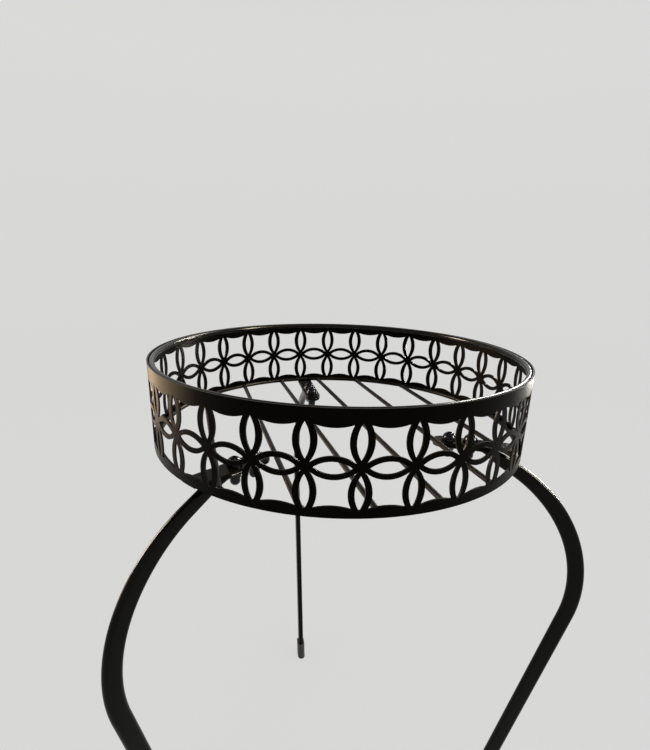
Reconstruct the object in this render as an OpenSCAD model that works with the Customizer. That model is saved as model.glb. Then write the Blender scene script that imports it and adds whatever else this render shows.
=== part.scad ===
// Three-legged stand with a round tray: a pierced sheet band, two wire rings, a floor of
// parallel wires, and three bent tube legs that are bolted under the tray.
// Millimetres, +Z up, origin on the floor under the middle of the whole object's box. The legs
// reach out further than the tray, so the tray's middle stands a little off that origin.

/* [Tray] */
// Outer diameter of the pierced band
tray_d = 305; // [280:1:330]
// Height of the pierced band
band_h = 67; // [64:0.5:75]
// Thickness of the band's sheet
sheet_t = 1.2; // [0.8:0.1:2]
// Height of the band's bottom edge above the floor
tray_z = 420; // [380:5:600]
// Number of flowers round the band
cells = 30; // [28:1:32]
// Turn of the pattern about the tray's axis, in degrees
pattern_turn = -0.6; // [-6:0.1:6]
// Height of the flowers' middles above the band's bottom edge
flower_z = 31.7; // [31:0.1:34]

/* [Piercing, as shares of the distance between flowers] */
// Length of each petal hole that lies along the band
petal_l = 0.705; // [0.6:0.005:0.75]
// Width of each petal hole that lies along the band
petal_w = 0.25; // [0.15:0.005:0.3]
// Length of each upright petal hole
upright_l = 0.705; // [0.6:0.005:0.72]
// Distance from a flower's middle to the near end of its upright petal holes
upright_gap = 0.141; // [0.12:0.001:0.16]
// Width of each upright petal hole
upright_w = 0.195; // [0.12:0.005:0.25]
// Outer width of the arms round a petal hole along the band
petal_outer = 0.455; // [0.4:0.005:0.5]
// Outer width of the arms round an upright petal hole
upright_outer = 0.45; // [0.38:0.005:0.5]
// Diameter of the solid spot in the middle of each flower
spot_d = 0.21; // [0.2:0.005:0.4]
// Distance from a flower's middle to the ends of the window above it
window_up = 0.805; // [0.7:0.005:0.82]
// Distance from a flower's middle to the ends of the window below it
window_down = 0.8; // [0.7:0.005:0.84]
// Depth of the scallop that the rim cuts into each window
scallop = 0.055; // [0.02:0.005:0.12]

/* [Rings and floor] */
// Wire thickness of the rim ring
rim_wire_d = 4.5; // [3:0.1:6]
// Wire thickness of the base ring and of the floor
floor_wire_d = 4; // [3:0.1:5]
// Height of the floor wires' middles above the band's bottom edge
floor_wire_z = 2; // [2:0.1:6]
// Number of floor wires
floor_wires = 6; // [6:1:6]
// Direction in which the floor wires run, in degrees
floor_turn = 108.4; // [90:0.1:120]
// Depth to which a welded wire sinks into its neighbour
weld = 0.15; // [0.05:0.05:0.4]

/* [Mounting plates] */
// Width of each plate
plate_w = 15; // [13:0.5:20]
// Thickness of each plate
plate_t = 2; // [1.5:0.1:3]
// Distance from the tray's middle to a plate's inner end
plate_r = 84; // [80:0.5:88]

/* [Legs] */
// Directions of the back, left and right legs' bolts, in degrees
leg_turns = [106.7, 231.3, 344.6];
// How far each of those legs is turned on its bolts, in degrees
leg_skews = [-3.4, -2.6, 3];
// Depth of the oval tube, in the plane of the bend
tube_w = 13.2; // [9:0.1:14]
// Thickness of the oval tube, across the bend
tube_t = 6.5; // [5:0.5:9]
// Wall of the tube
tube_wall = 1.2; // [0.8:0.1:1.6]
// Radius of the bend, to the middle of the tube
bend_r = 123.2; // [110:0.1:135]
// Distance from the tray's middle to the middle of the bend
bend_centre = 90.7; // [85:0.1:95]
// Depth of the bend's middle below the band's bottom edge
bend_drop = 126.4; // [115:0.1:135]
// Slope of the leg where it leaves the flattened end, in degrees
bend_from = 30; // [25:1:35]
// Lean of the straight part towards the middle, in degrees
lean = 12; // [0:0.5:14]
// Width of the flattened end
flat_w = 15; // [12:0.5:16]
// Thickness of the flattened end
flat_t = 2.8; // [2.6:0.1:4]
// Distance from the tray's middle to the fold where the flattened end turns down
flat_end = 124; // [120:0.5:126]
// Length over which the flattened end opens out into the oval tube
open_l = 19; // [16:0.5:24]

/* [Bolts and feet] */
// Distances from the tray's middle to the inner and outer bolts
bolt_r = [97, 114];
// Shank diameter of a bolt
bolt_d = 5; // [4:0.5:6]
// Diameter of a bolt's domed head
head_d = 11.5; // [10:0.5:12]
// Height of a bolt's domed head
head_h = 7; // [6:0.1:8]
// Width of a cap nut across its flats
nut_af = 8; // [7:0.5:10]
// Height of a cap nut with its dome
nut_h = 10.5; // [9:0.1:12]
// Height of a cap nut's hexagon
nut_hex_h = 4; // [3:0.1:5]
// Wall of a foot's sleeve
foot_wall = 1.6; // [1:0.1:2.5]
// Height of a foot above the floor
foot_h = 20; // [14:1:30]

/* [Hidden] */
SIDES = ["back", "left", "right"];
PLACES = ["inner", "outer"];
$fn = 64;

tray_r = tray_d / 2;
wall_r = tray_r - sheet_t;                 // inner face of the band
pitch = 2 * PI * tray_r / cells;           // distance between flowers along the band
cell_turn = 360 / cells;
cut_in = 6;                                // reach of the piercing tools on each side of the sheet
rim_ring_r = wall_r - rim_wire_d / 2 + weld;
base_ring_r = wall_r - floor_wire_d / 2 + weld;
wire_gap = 2 * tray_r / (floor_wires + 1); // distance between floor wires

plate_weld = 0.1;                          // how far a plate sinks into the wires above it
plate_top = tray_z + floor_wire_z - floor_wire_d / 2 + plate_weld;
plate_edge_gap = 0.3;                      // space between a plate's outer end and the band
flat_top = plate_top - plate_t;            // the flattened end lies against the plate
hole_play = 0.6;                           // how much wider than the shank the bolt holes are

socket_af = 3;                             // hexagon socket in a bolt's head
socket_h = 2.4;
nut_dome_d = nut_af * 0.94;
nut_play = 0.1;
thread_in_nut = 8;
bolt_l = plate_t + flat_t + thread_in_nut;

leg_end_z = 4;                             // plastic between the tube's end and the floor
foot_play = 0.1;
slice = 0.02;                              // thickness of the slices that a hull joins
joint_in = 2;                              // how far each length of a leg runs into the next
joint_step = 0.05;                         // and how much slimmer it is than that length
flat_in = 3;                               // where the opening out begins inside the flat end

// The bend turns from bend_from past upright to the straight part's lean.
bend_turn = 90 + lean;
bend_z = tray_z - bend_drop;
bend_top = [bend_centre + bend_r * sin(bend_from), 0, bend_z + bend_r * cos(bend_from)];
bend_low = [bend_centre + bend_r * sin(bend_turn), 0, bend_z + bend_r * cos(bend_turn)];
slope_l = (bend_top[0] - flat_end) / cos(bend_from);
straight_l = (bend_low[2] - leg_end_z) / cos(lean);
foot_r = bend_low[0] - straight_l * sin(lean);

// The outermost middle of a leg's bend, and from it the middle of the whole object's box. Both
// are measured from the tray's axis. The tray reaches furthest in -X, and the legs elsewhere.
leg_pivot = (bolt_r[0] + bolt_r[1]) / 2;
leg_reach = bend_centre + bend_r + (tube_w - tube_t) / 2 - leg_pivot;
function out_x(side) =
    leg_pivot * cos(leg_turns[side]) + leg_reach * cos(leg_turns[side] + leg_skews[side]);
function out_y(side) =
    leg_pivot * sin(leg_turns[side]) + leg_reach * sin(leg_turns[side] + leg_skews[side]);
box_x = (out_x(2) + tube_t / 2 - tray_r) / 2;
box_y = (out_y(0) + out_y(1)) / 2;

// Radius of the circles whose overlap is a lens of length l and width w
function lens_r(l, w) = (l * l + w * w) / (4 * w);

// Moves a part from the tray's axis to its place round the object's origin
module placed() {
    translate([-box_x, -box_y, 0]) children();
}

// Moves a part from a leg's own plane, the XZ plane, to that leg's place round the tray's axis
module at_leg(side) {
    rotate([0, 0, leg_turns[side]])
    translate([leg_pivot, 0, 0])
    rotate([0, 0, leg_skews[side]])
    translate([-leg_pivot, 0, 0])
    children();
}

// A pointed lens, lying along X: the overlap of two circles
module lens(l, w) {
    r = lens_r(l, w);
    intersection() {
        translate([0, r - w / 2]) circle(r = r);
        translate([0, w / 2 - r]) circle(r = r);
    }
}

// The window between two flowers, above the line through their middles. It starts as the
// whole cell and loses the arms, the flowers' middles and the scallop of the rim.
module window(reach) {
    half = pitch / 2 * (1 - upright_outer * 0.72);
    sag = scallop * pitch;
    rim_r = (half * half + sag * sag) / (2 * sag);
    difference() {
        square([pitch, reach * pitch]);
        for (x = [0, pitch]) {
            translate([x, 0]) circle(d = spot_d * pitch);
            translate([x, pitch / 2]) rotate(90) lens(pitch, upright_outer * pitch);
        }
        translate([pitch / 2, 0]) lens(pitch, petal_outer * pitch);
        translate([pitch / 2, reach * pitch - sag + rim_r]) circle(r = rim_r);
    }
}

// All the holes of one cell, with the flower's middle at the origin
module cell_holes() {
    upright_y = (upright_gap + upright_l / 2) * pitch;
    translate([pitch / 2, 0]) lens(petal_l * pitch, petal_w * pitch);
    for (s = [-1, 1])
        translate([0, s * upright_y]) rotate(90) lens(upright_l * pitch, upright_w * pitch);
    window(window_up);
    mirror([0, 1]) window(window_down);
}

module pierced_band() {
    color("#1c1917")
    difference() {
        translate([0, 0, tray_z]) cylinder(r = tray_r, h = band_h, $fn = 180);
        translate([0, 0, tray_z - 1]) cylinder(r = wall_r, h = band_h + 2, $fn = 180);
        for (k = [0 : cells - 1])
            rotate([0, 0, pattern_turn + k * cell_turn])
            translate([tray_r - cut_in, 0, tray_z + flower_z])
            rotate([90, 0, 90])
            linear_extrude(2 * cut_in) cell_holes();
    }
}

// A ring bent from round wire
module wire_ring(ring_r, wire_d, z) {
    translate([0, 0, z])
    rotate_extrude($fn = 180) translate([ring_r, 0]) circle(d = wire_d);
}

module rim_ring() {
    color("#22201d") wire_ring(rim_ring_r, rim_wire_d, tray_z + band_h - rim_wire_d / 2);
}

module base_ring() {
    color("#2a2620") wire_ring(base_ring_r, floor_wire_d, tray_z + floor_wire_z);
}

// Floor wire i of floor_wires, whose ends are welded to the base ring
module floor_wire(i) {
    offset_y = (i - (floor_wires - 1) / 2) * wire_gap;
    inner_r = base_ring_r - floor_wire_d / 2;
    half_l = sqrt(pow(inner_r + weld, 2) - pow(abs(offset_y) + floor_wire_d / 2, 2));
    color("#3a3226")
    rotate([0, 0, floor_turn])
    translate([-half_l, offset_y, tray_z + floor_wire_z])
    rotate([0, 90, 0]) cylinder(d = floor_wire_d, h = 2 * half_l);
}

// The children on both bolts' axes of one leg
module at_bolts() {
    for (r = bolt_r) translate([r, 0, 0]) children();
}

// Bar along X from in_r to out_r with a rounded inner end, its top at z
module strap(in_r, out_r, w, t, z) {
    translate([in_r + w / 2, -w / 2, z - t]) cube([out_r - in_r - w / 2, w, t]);
    translate([in_r + w / 2, 0, z - t]) cylinder(d = w, h = t);
}

// Strap under the floor that carries a leg
module mount_plate(side) {
    color("#3d352a")
    difference() {
        intersection() {
            at_leg(side) strap(plate_r, tray_r, plate_w, plate_t, plate_top);
            translate([0, 0, plate_top - plate_t - 1])
                cylinder(r = wall_r - plate_edge_gap, h = plate_t + 2, $fn = 180);
        }
        at_leg(side) at_bolts() translate([0, 0, plate_top - plate_t - 1])
            cylinder(d = bolt_d + hole_play, h = plate_t + 2);
    }
}

// Oval outline of the tube, drawn inset from the outside: X is in the plane of the bend
module oval(inset) {
    d = tube_t - 2 * inset;
    square([tube_w - tube_t, d], center = true);
    for (s = [-1, 1]) translate([s * (tube_w - tube_t) / 2, 0]) circle(d = d, $fn = 32);
}

// The bend under the tray's edge, as a solid whose outline is inset
module bend(inset) {
    translate([bend_centre, 0, bend_z])
    rotate([90, 0, 0])
    rotate([0, 0, 90 - bend_turn])
    rotate_extrude(angle = bend_turn - bend_from, $fn = 180)
    translate([bend_r, 0]) oval(inset);
}

// The straight part, of length l below the bend
module straight(inset, l) {
    translate(bend_low)
    rotate([0, 180 + lean, 0])
    translate([0, 0, -joint_in]) linear_extrude(l + joint_in) oval(inset);
}

// The slope between the opening out and the bend
module slope(inset) {
    translate(bend_top)
    rotate([0, bend_from - 90, 0])
    translate([0, 0, -joint_in]) linear_extrude(slope_l - open_l + joint_in) oval(inset);
}

// Where the flattened end opens out into the oval tube
module opening_out() {
    hull() {
        translate([flat_end - flat_in, joint_step - flat_w / 2, flat_top - flat_t + joint_step])
            cube([slice, flat_w - 2 * joint_step, flat_t - 2 * joint_step]);
        translate(bend_top)
            rotate([0, bend_from - 90, 0])
            translate([0, 0, slope_l - open_l - joint_in]) linear_extrude(slice) oval(2 * joint_step);
    }
}

module leg(side) {
    color("#16171c")
    at_leg(side)
    difference() {
        union() {
            difference() {
                strap(plate_r, flat_end + flat_w / 2, flat_w, flat_t, flat_top);
                translate([flat_end, -flat_w, flat_top - 2 * flat_t]) cube(4 * flat_t + flat_w);
            }
            opening_out();
            slope(joint_step);
            bend(0);
            straight(joint_step, straight_l);
        }
        bend(tube_wall);
        straight(tube_wall + joint_step, straight_l + 1);
        at_bolts() translate([0, 0, flat_top - flat_t - 1])
            cylinder(d = bolt_d + hole_play, h = flat_t + 2);
    }
}

// Plastic foot that slips over the end of a leg and stands flat on the floor
module foot(side) {
    color("#0d0d0e")
    at_leg(side)
    difference() {
        intersection() {
            straight(-foot_wall, straight_l + foot_h);
            translate([foot_r, 0, foot_h / 2]) cube([4 * foot_h, 2 * foot_h, foot_h], center = true);
        }
        straight(-foot_play, straight_l);
    }
}

// Bolt with a high domed head and a hexagon socket, standing on the plate's top face
module bolt(side, place) {
    color("#14151d")
    at_leg(side)
    translate([bolt_r[place], 0, plate_top])
    difference() {
        union() {
            rotate_extrude()
                intersection() {
                    union() {
                        square([head_d / 2, head_h - head_d / 2]);
                        translate([0, head_h - head_d / 2]) circle(d = head_d);
                    }
                    square([head_d / 2, head_h]);
                }
            translate([0, 0, -bolt_l]) cylinder(d = bolt_d, h = bolt_l + 1);
        }
        translate([0, 0, head_h - socket_h])
            cylinder(d = socket_af / cos(30), h = socket_h + 1, $fn = 6);
    }
}

// Domed cap nut, turned up against the underside of the flattened end
module cap_nut(side, place) {
    color("#1d1a17")
    at_leg(side)
    translate([bolt_r[place], 0, flat_top - flat_t])
    rotate([180, 0, 0])
    difference() {
        union() {
            intersection() {
                cylinder(d = nut_af / cos(30), h = nut_hex_h, $fn = 6);
                cylinder(d1 = nut_af + 2 * nut_hex_h, d2 = nut_af, h = nut_hex_h, $fn = 48);
            }
            translate([0, 0, 1]) cylinder(d = nut_dome_d, h = nut_h - nut_dome_d / 2 - 1);
            translate([0, 0, nut_h - nut_dome_d / 2]) sphere(d = nut_dome_d);
        }
        translate([0, 0, -1]) cylinder(d = bolt_d + nut_play, h = thread_in_nut + 1.3);
    }
}

placed() pierced_band();
placed() rim_ring();
placed() base_ring();
placed() floor_wire(0);  // floor_wire_1
placed() floor_wire(1);  // floor_wire_2
placed() floor_wire(2);  // floor_wire_3
placed() floor_wire(3);  // floor_wire_4
placed() floor_wire(4);  // floor_wire_5
placed() floor_wire(5);  // floor_wire_6
placed() mount_plate(0);  // mount_plate_back
placed() mount_plate(1);  // mount_plate_left
placed() mount_plate(2);  // mount_plate_right
placed() leg(0);  // leg_back
placed() leg(1);  // leg_left
placed() leg(2);  // leg_right
placed() foot(0);  // foot_back
placed() foot(1);  // foot_left
placed() foot(2);  // foot_right
placed() bolt(0, 0);  // bolt_back_inner
placed() bolt(0, 1);  // bolt_back_outer
placed() bolt(1, 0);  // bolt_left_inner
placed() bolt(1, 1);  // bolt_left_outer
placed() bolt(2, 0);  // bolt_right_inner
placed() bolt(2, 1);  // bolt_right_outer
placed() cap_nut(0, 0);  // cap_nut_back_inner
placed() cap_nut(0, 1);  // cap_nut_back_outer
placed() cap_nut(1, 0);  // cap_nut_left_inner
placed() cap_nut(1, 1);  // cap_nut_left_outer
placed() cap_nut(2, 0);  // cap_nut_right_inner
placed() cap_nut(2, 1);  // cap_nut_right_outer
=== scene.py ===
# %% [markdown]
# # A small black plant stand
# The stand is a round tray on three bowed legs. The tray is a pierced sheet band with a wire
# ring inside its rim, another inside its lower edge, and a floor of six parallel wires. The CAD
# model already holds every piece at its real size, so this lesson loads it and only paints its
# sheet, wires, fasteners and feet. It remakes the one thing that a hard-edged solid shows
# badly, the pressed and bent tubes, and adds the beads of weld at the wires' ends.

# %% Load the CAD frame
import math

import bpy
import numpy as np
from mathutils import Matrix, Vector


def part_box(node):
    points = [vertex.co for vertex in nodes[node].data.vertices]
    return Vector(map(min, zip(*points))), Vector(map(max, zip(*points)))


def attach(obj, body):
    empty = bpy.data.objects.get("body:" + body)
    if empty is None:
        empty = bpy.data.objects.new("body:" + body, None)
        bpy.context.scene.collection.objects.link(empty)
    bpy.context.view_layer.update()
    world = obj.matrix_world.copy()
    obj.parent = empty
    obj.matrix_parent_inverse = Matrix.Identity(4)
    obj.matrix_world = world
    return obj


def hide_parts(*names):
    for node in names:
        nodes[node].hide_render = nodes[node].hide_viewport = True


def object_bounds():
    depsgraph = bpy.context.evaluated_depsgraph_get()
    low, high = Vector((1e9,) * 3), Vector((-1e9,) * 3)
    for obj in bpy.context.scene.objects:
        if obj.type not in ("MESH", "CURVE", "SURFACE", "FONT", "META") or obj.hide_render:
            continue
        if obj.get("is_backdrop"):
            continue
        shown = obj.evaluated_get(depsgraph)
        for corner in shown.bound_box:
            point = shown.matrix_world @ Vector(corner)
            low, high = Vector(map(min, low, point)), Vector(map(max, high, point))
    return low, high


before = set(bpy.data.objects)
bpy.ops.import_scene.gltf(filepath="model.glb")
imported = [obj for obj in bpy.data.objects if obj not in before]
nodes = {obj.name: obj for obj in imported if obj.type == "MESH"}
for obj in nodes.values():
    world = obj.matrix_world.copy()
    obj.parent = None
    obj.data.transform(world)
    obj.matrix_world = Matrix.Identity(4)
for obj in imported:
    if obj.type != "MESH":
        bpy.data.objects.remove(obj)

CAD_BOX = [list(corner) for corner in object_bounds()]
print(f"{len(nodes)} CAD nodes, box {np.round(CAD_BOX, 4).tolist()} m")

# %% [markdown]
# Every place in this lesson is measured from the frame. The tray's axis is the middle of the
# band's box. A leg lies in an upright plane through its two bolts, so the bolts' middles give
# its direction, and its own zero lies a known distance inwards from the inner bolt. That zero
# is a few millimetres off the tray's axis, because each leg is bolted on a little askew.
# Millimetres are easier to read than metres for a piece this small, so lengths are written in
# millimetres and multiplied by `MM` where they become places.

# %% Measure the tray and the legs' planes
MM = 0.001
SIDES = ("back", "left", "right")
INNER_BOLT_R = 97.0 * MM


def middle(node):
    """Middle of a node's box, as an array."""
    return np.array([list(corner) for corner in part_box(node)]).mean(0)


band_low, band_high = (np.array(corner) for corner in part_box("pierced_band"))
AXIS = (band_low + band_high)[:2] / 2
TRAY_Z = band_low[2]
PLATE_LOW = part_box("mount_plate_back")[0][2]

leg_zero, leg_turn = {}, {}
for side in SIDES:
    inner, outer = (middle(f"bolt_{side}_{place}")[:2] for place in ("inner", "outer"))
    direction = (outer - inner) / np.linalg.norm(outer - inner)
    leg_zero[side] = inner - INNER_BOLT_R * direction
    leg_turn[side] = math.atan2(direction[1], direction[0])
    off_axis = np.linalg.norm(leg_zero[side] - AXIS) / MM
    print(side, "leg runs at", round(math.degrees(leg_turn[side]) % 360, 1), "degrees,",
          round(off_axis, 1), "mm off the tray's axis")

# %% [markdown]
# ## The camera
# The stand is seen from just above its rim, close by, so the near side of the band is much
# larger than the far side. A wide lens at a short distance gives that, where a long lens
# further away would flatten the ring. The three turns are applied in the order yaw, pitch,
# roll, and the rows of the product are the camera's own axes. The small shift slides the
# frame over the view without tilting the camera.

# %% Place the camera
CAMERA_BACK, CAMERA_UP = 384.0 * MM, 145.3 * MM
YAW, PITCH, ROLL = (math.radians(a) for a in (1.19, 17.97, 1.614))
LENS, SENSOR = 22.133, 36.0
SHIFT_X, SHIFT_Y = -0.00493, 0.03627


def camera_axes(yaw, pitch, roll):
    """Rows that point right, down and forwards: roll times pitch times yaw times level."""
    level = np.array([[1, 0, 0], [0, 0, -1], [0, 1, 0]])
    cy, sy, cp, sp, cr, sr = (f(a) for a in (yaw, pitch, roll) for f in (math.cos, math.sin))
    turn_y = np.array([[cy, 0, sy], [0, 1, 0], [-sy, 0, cy]])
    turn_x = np.array([[1, 0, 0], [0, cp, -sp], [0, sp, cp]])
    turn_z = np.array([[cr, -sr, 0], [sr, cr, 0], [0, 0, 1]])
    return turn_z @ turn_x @ turn_y @ level


right, down, forwards = camera_axes(YAW, PITCH, ROLL)
camera = bpy.data.objects.new("camera", bpy.data.cameras.new("camera"))
bpy.context.scene.collection.objects.link(camera)
matrix = Matrix.Identity(4)
for column, axis in enumerate((right, -down, -forwards)):
    for row in range(3):
        matrix[row][column] = axis[row]
matrix.translation = Vector((AXIS[0], AXIS[1] - CAMERA_BACK, TRAY_Z + CAMERA_UP))
camera.matrix_world = matrix
camera.data.sensor_width = SENSOR
camera.data.lens, camera.data.shift_x, camera.data.shift_y = LENS, SHIFT_X, SHIFT_Y
camera.data.clip_start = 10 * MM
bpy.context.scene.camera = camera
print("lens", round(camera.data.lens, 2), "mm at", [round(v, 3) for v in matrix.translation])

# %% [markdown]
# ## Shader maths as Python
# Node trees get hard to follow when every sum is three lines of links. A small class that
# wraps a socket and overloads the operators lets a mask be written as a formula: each
# operator adds one Math node. Colours never go through it, because a Math node would turn
# them grey.

# %% The socket class
class Value:
    """A number that varies over a surface: one output socket of a material's nodes."""

    def __init__(self, finish, socket):
        self.finish, self.socket = finish, socket

    def math(self, operation, *inputs):
        """One Math node on these inputs, which are Values or plain numbers."""
        settings = {"operation": operation}
        return self.finish.node("ShaderNodeMath", settings, dict(enumerate(inputs)))

    def __add__(self, other): return self.math("ADD", self, other)
    def __sub__(self, other): return self.math("SUBTRACT", self, other)
    def __rsub__(self, other): return self.math("SUBTRACT", other, self)
    def __mul__(self, other): return self.math("MULTIPLY", self, other)
    def __abs__(self): return self.math("ABSOLUTE", self)
    __radd__ = __add__

    def step(self, low, high):
        """0 below low, 1 above high and a smooth S between them."""
        settings = {"interpolation_type": "SMOOTHSTEP"}
        return self.finish.node("ShaderNodeMapRange", settings, {0: self, 1: low, 2: high})


# %% The material class
class Finish:
    """A material with one Principled shader. The keyword arguments are its constants, and
    node() makes any other node it needs."""

    def __init__(self, name, **constants):
        self.material = bpy.data.materials.new(name)
        self.material.use_nodes = True
        self.tree = self.material.node_tree
        self.shader = self.tree.nodes["Principled BSDF"]
        for socket, value in constants.items():
            self.shader.inputs[socket.replace("_", " ")].default_value = value
        self.place = self.node("ShaderNodeTexCoord", output="Object")

    def node(self, kind, settings=None, sockets=None, output=0):
        """A node of this kind: its settings first, then each socket's value or link."""
        made = self.tree.nodes.new(kind)
        for name, value in (settings or {}).items():
            setattr(made, name, value)
        for key, value in (sockets or {}).items():
            self.feed(made.inputs[key], value)
        return Value(self, made.outputs[output])

    def feed(self, socket, value):
        """Links a Value to a socket, or sets the socket to a plain number or colour."""
        if isinstance(value, Value):
            self.tree.links.new(value.socket, socket)
        else:
            socket.default_value = value

    def set(self, socket, value):
        """Feeds one of the shader's own sockets."""
        self.feed(self.shader.inputs[socket], value)

    def noise(self, per_metre, detail=2.0, vector=None):
        """Cloudy noise from 0 to 1, with about this many blotches to the metre."""
        sockets = {"Vector": vector or self.place, "Scale": per_metre, "Detail": detail}
        return self.node("ShaderNodeTexNoise", sockets=sockets)

    def blend(self, mask, first, second):
        """The first colour where the mask is 0 and the second where it is 1."""
        sockets = {0: mask, 6: first, 7: second}
        return self.node("ShaderNodeMix", {"data_type": "RGBA"}, sockets, 2)

    def part(self, vector, axis):
        """One of a vector's three numbers."""
        return self.node("ShaderNodeSeparateXYZ", sockets={0: vector}, output=axis)

    def bump(self, height, distance, strength):
        """Raises the surface by up to distance metres where height is 1."""
        sockets = {"Height": height, "Distance": distance, "Strength": strength}
        self.set("Normal", self.node("ShaderNodeBump", sockets=sockets))


print("socket and material classes ready")

# %% [markdown]
# ## Black paint
# Cheap wire goods are dipped or sprayed in a black paint that dries to a satin skin. Up close
# the skin has a faint orange peel, the gloss changes from place to place, and a brown-grey
# dust settles on faces that look up. One function makes the paint, and its arguments say how
# glossy and how dusty each piece is, so that band, wires, plates and legs belong together
# without being the same. Noise scales are in blotches to the metre.

# %% The paint
INK = (0.0006, 0.0007, 0.0004, 1)
DUST = (0.085, 0.064, 0.036, 1)
WARM = (1.0, 0.84, 0.62, 1)
CLOUDS, GRAINS, PEEL = 34, 1500, 620
PEEL_DEPTH, PEEL_STRENGTH = 0.12 * MM, 0.16
COAT_ROUGHNESS = 0.12


def paint(name, gloss, dust, coat=0.0, ink=INK, shine=0.03, peeled=True):
    """Paint whose roughness is 1 - gloss, give or take its clouds, with dust on upward faces.
    Its reflections are tinted warm, as the brown-black of thin paint over steel is."""
    finish = Finish(name, Coat_Weight=coat, Coat_Roughness=COAT_ROUGHNESS,
                    Specular_IOR_Level=shine, Specular_Tint=WARM)
    clouds = finish.noise(CLOUDS, 3)
    grain = finish.noise(GRAINS, 2)
    normal = finish.node("ShaderNodeNewGeometry", output="Normal")
    upward = finish.part(normal, 2).step(0.25, 1.0)
    film = upward * clouds.step(0.36, 0.72) * dust
    specks = grain.step(0.62, 0.78) * dust * 0.25
    settled = film + specks
    finish.set("Base Color", finish.blend(settled, ink, DUST))
    finish.set("Roughness", 1 - gloss + (clouds - 0.5) * 0.16 + settled * 0.3)
    if peeled:
        finish.bump(finish.noise(PEEL, 2) + grain * 0.3, PEEL_DEPTH, PEEL_STRENGTH)
    return finish


wire_paint = paint("wire_paint", gloss=0.66, dust=0.4, shine=0.1)
ring_paint = paint("ring_paint", gloss=0.8, dust=0.08, coat=0.16, shine=0.1)
plate_paint = paint("plate_paint", gloss=0.68, dust=0.3, shine=0.08)
print("paints for wires, rings and plates")

# %% [markdown]
# ## The band's paint
# The band was cut from sheet, and the cut edges of its holes catch the light as pale lines.
# That highlight is painted here: the cut edges get a paler colour than the two broad faces,
# and a little less roughness. An edge can be told from a face without any map: a broad face
# looks straight along the tray's radius, and a cut edge looks across it. The mask is the dot
# product of the normal and the radius. The band starts from the common paint, whose two links
# are taken out of the shader and blended further.

# %% The band's paint, with a painted highlight on cut edges
# Pale colour painted on the cut edges as a highlight, where they catch the light.
CUT_EDGE_HIGHLIGHT = (0.034, 0.027, 0.018, 1)


def edge_highlight_mask(finish):
    """1 on faces that look across the tray's radius, 0 on faces that look along it."""
    settings = {"vector_type": "POINT"}
    centre = {"Location": (-AXIS[0], -AXIS[1], 0), "Scale": (1, 1, 0)}
    flat = finish.node("ShaderNodeMapping", settings, {"Vector": finish.place, **centre})
    radius = finish.node("ShaderNodeVectorMath", {"operation": "NORMALIZE"}, {0: flat})
    normal = finish.node("ShaderNodeNewGeometry", output="Normal")
    along = finish.node("ShaderNodeVectorMath", {"operation": "DOT_PRODUCT"},
                        {0: radius, 1: normal}, "Value")
    return 1 - abs(along).step(0.35, 0.8)


band_paint = paint("band_paint", gloss=0.7, dust=0.16)
edge = edge_highlight_mask(band_paint)
base, rough = (Value(band_paint, band_paint.shader.inputs[socket].links[0].from_socket)
               for socket in ("Base Color", "Roughness"))
# Painted highlight: the cut edges are blended towards the pale highlight colour.
band_paint.set("Base Color", band_paint.blend(edge * 0.8, base, CUT_EDGE_HIGHLIGHT))
band_paint.set("Roughness", rough - edge * 0.08)
print("band paint with a cut-edge mask")

# %% [markdown]
# ## Tubes, bolts and feet
# The legs are the glossiest part: thin-walled tube takes paint smoothly and gets rubbed when
# the stand is carried. Faint lines run along it from the tube mill, so its bump reads the
# piece's own UV map: many lines round the tube, few to the metre along it. The bolts are
# blackened steel, darker and more metallic than paint. The feet are moulded plastic, dull and
# finely grained.

# %% Tube, bolt and foot finishes
TUBE_INK = (0.0005, 0.0006, 0.0008, 1)
BOLT, BOLT_WORN = (0.003, 0.0036, 0.007, 1), (0.014, 0.014, 0.02, 1)
FOOT, FOOT_SCUFFED = (0.011, 0.011, 0.0115, 1), (0.045, 0.043, 0.04, 1)
LINES_ROUND, LINES_ALONG = 60, 6

tube_paint = paint("tube_paint", gloss=0.82, dust=0.03, coat=0.15, ink=TUBE_INK,
                   shine=0.04, peeled=False)
uv = tube_paint.node("ShaderNodeUVMap", {"uv_map": "along"})
stretched = tube_paint.node("ShaderNodeMapping", sockets={
    "Vector": uv, "Scale": (LINES_ROUND, LINES_ALONG, 1)})
lines = tube_paint.noise(1.0, 2, stretched)
peel = tube_paint.noise(PEEL, 2)
tube_paint.bump(peel * 0.6 + lines * 0.8, PEEL_DEPTH, 0.14)

bolt_black = Finish("bolt_black", Metallic=0.3, Specular_IOR_Level=0.3)
worn = bolt_black.noise(190, 3).step(0.6, 0.85)
bolt_black.set("Base Color", bolt_black.blend(worn, BOLT, BOLT_WORN))
bolt_black.set("Roughness", 0.2 + worn * 0.16)
bolt_black.bump(bolt_black.noise(700, 2), 0.05 * MM, 0.08)

foot_plastic = Finish("foot_plastic")
pores = foot_plastic.noise(1900, 3)
scuffs = foot_plastic.noise(90, 4).step(0.55, 0.8)
foot_plastic.set("Base Color", foot_plastic.blend(scuffs, FOOT, FOOT_SCUFFED))
foot_plastic.set("Roughness", 0.58 + pores * 0.14)
foot_plastic.bump(pores, 0.2 * MM, 0.3)
print("tube, bolt and foot finishes")

# %% [markdown]
# A carried-over CAD node keeps its mesh and only gets a new material in its slots. The names
# of the nodes start with what they are, so a short table of beginnings is enough.

# %% Give the CAD nodes their finishes
FINISHES = {
    "pierced_band": band_paint, "rim_ring": ring_paint, "base_ring": wire_paint,
    "floor_wire": wire_paint, "mount_plate": plate_paint, "leg": tube_paint,
    "foot": foot_plastic, "bolt": bolt_black, "cap_nut": bolt_black,
}
for name, node in nodes.items():
    finish = next(f for start, f in FINISHES.items() if name.startswith(start))
    for material_slot in node.material_slots:
        material_slot.material = finish.material
print(len(nodes), "nodes painted")

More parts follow.
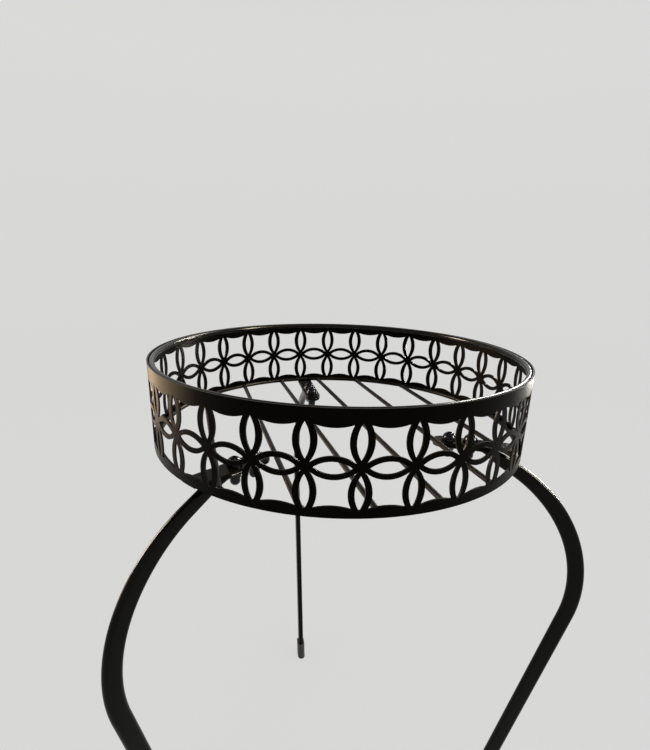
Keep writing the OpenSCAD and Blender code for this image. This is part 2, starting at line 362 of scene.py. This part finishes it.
# %% [markdown]
# ## Surfaces from grids
# Every new piece is a grid of points: rows run along it and columns run round it. The points
# come from one numpy formula, and the faces from index arithmetic. The sign of the enclosed
# volume says whether the faces look outwards, which is safer than trusting the winding.

# %% Turn a grid into a closed piece
def tube_faces(rows, cols):
    """Quads between neighbouring rows, closed round the columns, and one polygon per end."""
    i, j = np.meshgrid(np.arange(rows - 1), np.arange(cols), indexing="ij")
    after = (j + 1) % cols
    quads = np.stack([i * cols + j, i * cols + after, (i + 1) * cols + after,
                      (i + 1) * cols + j], -1).reshape(-1, 4)
    first, last = np.arange(cols)[::-1], (rows - 1) * cols + np.arange(cols)
    return quads, first, last


def enclosed(points, quads):
    """Signed volume inside the quads: the tetrahedra from the middle to each triangle."""
    p = (points - points.mean(0))[quads]
    halves = (p[:, (0, 1, 2)], p[:, (0, 2, 3)])
    return sum(np.einsum("ij,ij->", h[:, 0], np.cross(h[:, 1], h[:, 2])) for h in halves) / 6


def piece(name, grids, finish, replaces=(), along=None):
    """One object from closed grids, riding the only body. replaces names the CAD nodes that
    it stands in for, and along gives each row's distance for the UV map."""
    points, faces, start = [], [], 0
    for grid in grids:
        rows, cols = grid.shape[:2]
        flat = grid.reshape(-1, 3)
        parts = tube_faces(rows, cols)
        if enclosed(flat, parts[0]) < 0:
            parts = tuple(part[..., ::-1] for part in parts)
        faces += (parts[0] + start).tolist() + [(end + start).tolist() for end in parts[1:]]
        points.append(flat)
        start += len(flat)
    mesh = bpy.data.meshes.new(name)
    mesh.from_pydata(np.concatenate(points).tolist(), [], faces)
    mesh.polygons.foreach_set("use_smooth", np.ones(len(mesh.polygons), bool))
    if along is not None:
        add_uv(mesh, along, grids[0].shape[1])
    mesh.materials.append(finish.material)
    made = bpy.data.objects.new(name, mesh)
    bpy.context.scene.collection.objects.link(made)
    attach(made, "root")
    if replaces:
        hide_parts(*replaces)
    print(name, len(mesh.polygons), "faces")


def add_uv(mesh, along, cols):
    """UV map: u is the share of the way round, v is the distance along in metres."""
    corners = np.empty(len(mesh.loops), int)
    mesh.loops.foreach_get("vertex_index", corners)
    uv = np.stack([(corners % cols) / cols, along[corners // cols]], -1)
    mesh.uv_layers.new(name="along").data.foreach_set("uv", uv.ravel())


# %% [markdown]
# ## The bent legs
# Each leg is one length of oval tube. Its upper end was pressed flat and drilled, folded down
# by 30 degrees, and the rest was rolled into a wide bow that ends leaning in towards the
# middle. A solid modeller makes this from separate lengths with a crease at each join. As a
# swept surface the whole leg is one smooth skin: the slope of the path is a function of the
# distance along it, and its cosine and sine are added up to give the path. Lengths in this
# cell and the next are plain millimetres, and distances out are from the leg's zero.

# %% The path of a leg
TIP_R, FOLD_R = 84.0, 124.0  # where the flat end starts and where it folds
BEND_R, BEND_CENTRE, BEND_DROP = 123.2, 90.7, 126.4  # the bow's radius and its middle
FOLD_SLOPE, END_SLOPE = math.radians(30), math.radians(102)
FOLD_RADIUS = 9.0
TUBE_END = 4.2  # height of the tube's lower end, inside the foot
FINE_STEPS = 20001

bend_top_r = BEND_CENTRE + BEND_R * math.sin(FOLD_SLOPE)
bend_low_z = TRAY_Z / MM - BEND_DROP + BEND_R * math.cos(END_SLOPE)
fold_start = FOLD_R - TIP_R - FOLD_RADIUS * math.tan(FOLD_SLOPE / 2)
fold_end = fold_start + FOLD_RADIUS * FOLD_SLOPE
bend_start = (fold_end - FOLD_RADIUS * math.tan(FOLD_SLOPE / 2)
              + (bend_top_r - FOLD_R) / math.cos(FOLD_SLOPE))
bend_end = bend_start + BEND_R * (END_SLOPE - FOLD_SLOPE)
leg_length = bend_end + (bend_low_z - TUBE_END) / math.sin(END_SLOPE)


def leg_path(stations):
    """Distance out, height below the flat end's middle, and slope, at distances along a leg.
    The slope is level, ramps through the fold, holds, ramps through the bend and holds; the
    distance out is the sum of its cosine, and the drop is the sum of its sine."""
    fine = np.linspace(0, leg_length, FINE_STEPS)
    marks = [0, fold_start, fold_end, bend_start, bend_end, leg_length]
    slope = np.interp(fine, marks, [0, 0, FOLD_SLOPE, FOLD_SLOPE, END_SLOPE, END_SLOPE])
    steps = np.diff(fine)
    middle = (slope[1:] + slope[:-1]) / 2
    out = TIP_R + np.concatenate([[0], np.cumsum(np.cos(middle) * steps)])
    drop = np.concatenate([[0], np.cumsum(np.sin(middle) * steps)])
    return tuple(np.interp(stations, fine, column) for column in (out, drop, slope))


print("leg length", round(leg_length, 1), "mm along its middle")

# %% [markdown]
# The cross-section is a rectangle whose corners are rounded as far as they can be. When it is
# wide and thin that gives the pressed end, and when it is deep and narrow it gives the oval
# tube, so a smooth change of its two half sizes opens the flat end out into the tube. Most of
# the opening takes place just past the fold, and the last of it runs on well into the bow. The
# first few rows also narrow along a quarter circle, which rounds the tip off in plan.

# %% Sweep the legs
FLAT_T, FLAT_W = 2.8, 15.0
TUBE_DEEP, TUBE_THICK, SHALLOW = 13.1, 6.4, 10.6
OPENING, FILLING = 23.0, 95.0  # how far the flat end takes to open, and to reach full depth
ROUND = 64


def ease(start, length, stations):
    """0 before start, 1 after start + length and a smooth S between them."""
    share = np.clip((stations - start) / length, 0, 1)
    return share * share * (3 - 2 * share)


def section(half_across, half_deep):
    """Rounded rectangle: the corner circle's radius is the smaller half size, and its centre
    sits at what is left of each half size, on the side that the angle points to."""
    angle = (np.arange(ROUND) + 0.5) / ROUND * 2 * np.pi
    radius = np.minimum(half_across, half_deep)[:, None]
    across = np.sign(np.cos(angle)) * (half_across[:, None] - radius) + radius * np.cos(angle)
    deep = np.sign(np.sin(angle)) * (half_deep[:, None] - radius) + radius * np.sin(angle)
    return across, deep


def leg_grid(zero, turn):
    """Points of one leg, and the distance of each row along it. A point is the path, plus
    across in the level direction, plus deep in the direction square to the path."""
    tip = FLAT_W / 2 * (1 - np.cos(np.linspace(0.03, np.pi / 2, 16)))
    rest = np.concatenate([np.linspace(FLAT_W / 2, fold_start - 3, 8)[1:],
                           np.linspace(fold_start - 3, bend_start, 60)[1:],
                           np.linspace(bend_start, bend_end, 120)[1:],
                           np.linspace(bend_end, leg_length, 60)[1:]])
    stations = np.concatenate([tip, rest])
    out, drop, slope = leg_path(stations)
    opened = ease(fold_start - 2, OPENING, stations)
    tube_deep = SHALLOW + (TUBE_DEEP - SHALLOW) * ease(fold_start, FILLING, stations)
    rounded = np.sqrt(np.clip(1 - np.clip(1 - stations / (FLAT_W / 2), 0, 1) ** 2, 0, 1))
    half_across = (FLAT_W * (1 - opened) + TUBE_THICK * opened) / 2 * rounded
    half_deep = (FLAT_T * (1 - opened) + tube_deep * opened) / 2
    across, deep = section(half_across, half_deep)
    outward = np.array([math.cos(turn), math.sin(turn), 0])
    level = np.array([-math.sin(turn), math.cos(turn), 0])
    up = np.array([0, 0, 1.0])
    middle = PLATE_LOW / MM - FLAT_T / 2 - drop
    square = np.sin(slope)[:, None] * outward + np.cos(slope)[:, None] * up
    path = out[:, None] * outward + middle[:, None] * up
    grid = (path[:, None] + across[..., None] * level + deep[..., None] * square[:, None]) * MM
    grid[..., :2] += zero
    return grid, stations * MM


for side in SIDES:
    grid, along = leg_grid(leg_zero[side], leg_turn[side])
    piece(f"bent_leg_{side}", [grid], tube_paint, [f"leg_{side}"], along)

# %% [markdown]
# ## Weld beads
# The wires are spot welded: each end is pressed into the base ring and melts a small collar
# round itself. A bead is a ball squeezed to the size of the joint, its radius changed by a
# few slow waves with their own random phases, so that no two look alike. The ends of a
# wire are found from its box, because each wire runs from one corner of it to the other.

# %% Beads at the wires' ends
WIRE_R = 2.0 * MM
BEAD_SIZE = np.array([2.0, 3.3, 1.85]) * MM  # half sizes: outward, sideways and upright
BEAD_INSET = 0.3 * MM
BEAD_ROWS, BEAD_COLS = 18, 28
random = np.random.default_rng(12)


def bead(centre, half_sizes, turn, roughness=0.08):
    """A ball given by latitude and longitude, its radius 1 plus three slow waves, scaled by
    the half sizes along its own axes and turned about the vertical."""
    lat = np.linspace(-np.pi / 2 + 0.05, np.pi / 2 - 0.05, BEAD_ROWS)[:, None]
    lon = np.linspace(0, 2 * np.pi, BEAD_COLS, endpoint=False)[None]
    phase = random.uniform(0, 2 * np.pi, 3)
    waves = sum(np.cos(k * lon + phase[k - 2]) * np.cos(lat) ** k for k in (2, 3, 4)) / 3
    radius = 1 + roughness * waves
    ball = np.stack([radius * np.cos(lat) * np.cos(lon), radius * np.cos(lat) * np.sin(lon),
                     radius * np.sin(lat) + 0 * lon], -1) * half_sizes
    c, s = math.cos(turn), math.sin(turn)
    return ball @ np.array([[c, s, 0], [-s, c, 0], [0, 0, 1]]) + centre


def wire_ends(name):
    """Middles of a wire's two ends: opposite corners of its box, drawn in by its radius."""
    (x0, y0, z0), (x1, y1, z1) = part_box(name)
    length = math.hypot(x1 - x0, y1 - y0)
    inset_x, inset_y = WIRE_R * (y1 - y0) / length, WIRE_R * (x1 - x0) / length
    middle = (z0 + z1) / 2
    return (np.array([x0 + inset_x, y1 - inset_y, middle]),
            np.array([x1 - inset_x, y0 + inset_y, middle]))


beads = []
for name in sorted(n for n in nodes if n.startswith("floor_wire")):
    for end in wire_ends(name):
        outward = math.atan2(*(end[:2] - AXIS)[::-1])
        inset = np.array([math.cos(outward), math.sin(outward), 0]) * BEAD_INSET
        beads.append(bead(end - inset, BEAD_SIZE, outward))
piece("wire_welds", beads, wire_paint)

# %% [markdown]
# ## Stage and light
# The stage is a round bowl of pale paper: a level floor that curves up into a wall all round,
# so no view has a horizon line. The paper glows faintly of its own, which evens out floor and
# wall without any lamp that would wash out black paint. A black, glossy piece is drawn by what
# it mirrors, so all lamps but the one overhead are narrow panels that are only seen mirrored:
# they leave cream lines along the rim and the tubes, and the rest stays black. A low, warm
# panel at the left gives that side of the band its brown.

# %% Floor and wall
PAPER = (0.30, 0.30, 0.30, 1)
GLOW, GLOW_STRENGTH = (0.97, 0.97, 0.96, 1), 0.56


def backdrop(floor_r=4.0, curve_r=3.0, height=7.0, around=72):
    """A profile turned about the upright axis: a level floor out to floor_r, a quarter circle
    and an upright wall."""
    angle = np.linspace(0, np.pi / 2, 30)
    curve = np.stack([floor_r + curve_r * np.sin(angle), curve_r * (1 - np.cos(angle))], -1)
    profile = np.concatenate([[[0.01, 0]], curve, [[floor_r + curve_r, height]]])
    turn = np.linspace(0, 2 * np.pi, around, endpoint=False)
    out, up = profile[:, :1], profile[:, 1:]
    points = np.stack(np.broadcast_arrays(out * np.cos(turn), out * np.sin(turn), up), -1)
    quads, first, _ = tube_faces(len(profile), around)
    mesh = bpy.data.meshes.new("backdrop")
    mesh.from_pydata(points.reshape(-1, 3).tolist(), [], quads.tolist() + [first.tolist()])
    mesh.polygons.foreach_set("use_smooth", np.ones(len(mesh.polygons), bool))
    made = bpy.data.objects.new("backdrop", mesh)
    bpy.context.scene.collection.objects.link(made)
    return made


paper = Finish("paper", Base_Color=PAPER, Roughness=0.95, Specular_IOR_Level=0.0,
               Emission_Color=GLOW, Emission_Strength=GLOW_STRENGTH)
stage = backdrop()
stage.data.materials.append(paper.material)
stage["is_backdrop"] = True
print("round backdrop")

# %% Lights
def panel(name, place, size, watts, colour, only_mirrored=True):
    """A rectangular light that faces the tray. Most are only seen mirrored in the paint, so
    they draw highlights and leave the paper and the black as they are."""
    light = bpy.data.lights.new(name, "AREA")
    light.shape, light.size, light.size_y = "RECTANGLE", *size
    light.energy, light.color = watts, colour
    made = bpy.data.objects.new(name, light)
    made.location = place
    made.visible_diffuse = not only_mirrored
    made.visible_camera = False
    towards = Vector((*AXIS, TRAY_Z)) - Vector(place)
    made.rotation_euler = towards.to_track_quat("-Z", "Y").to_euler()
    bpy.context.scene.collection.objects.link(made)


panel("overhead", (0.3, -0.2, 2.4), (1.5, 1.5), 5, (1.0, 0.99, 0.97), False)
panel("right", (1.35, -0.35, 1.25), (0.16, 0.9), 70, (1.0, 0.95, 0.82))
panel("left", (-1.4, 0.2, 0.8), (0.3, 0.8), 45, (1.0, 0.90, 0.76))
panel("behind", (1.0, 1.5, 1.5), (0.16, 1.1), 60, (1.0, 0.98, 0.92))
panel("corner", (1.3, 1.1, 0.45), (0.16, 0.7), 30, (1.0, 0.97, 0.85))
panel("low", (-1.25, 0.45, 0.2), (1.2, 0.35), 5.5, (1.0, 0.68, 0.38))

world = bpy.data.worlds.new("room")
world.use_nodes = True
ceiling = world.node_tree.nodes["Background"].inputs
ceiling["Color"].default_value = (0.93, 0.94, 0.95, 1)
ceiling["Strength"].default_value = 0.15
bpy.context.scene.world = world
bpy.context.scene.view_settings.view_transform = "Standard"
print("six panels and a dim ceiling")

# %% [markdown]
# ## Check the size
# The visual model must not outgrow the CAD model, so the largest difference between the two
# boxes is printed.

# %% Measure the difference between the boxes
shown_box = [list(corner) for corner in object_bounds()]
growth = np.abs(np.array(shown_box) - np.array(CAD_BOX)).max() / MM
print("largest difference between the boxes", round(growth, 2), "mm")
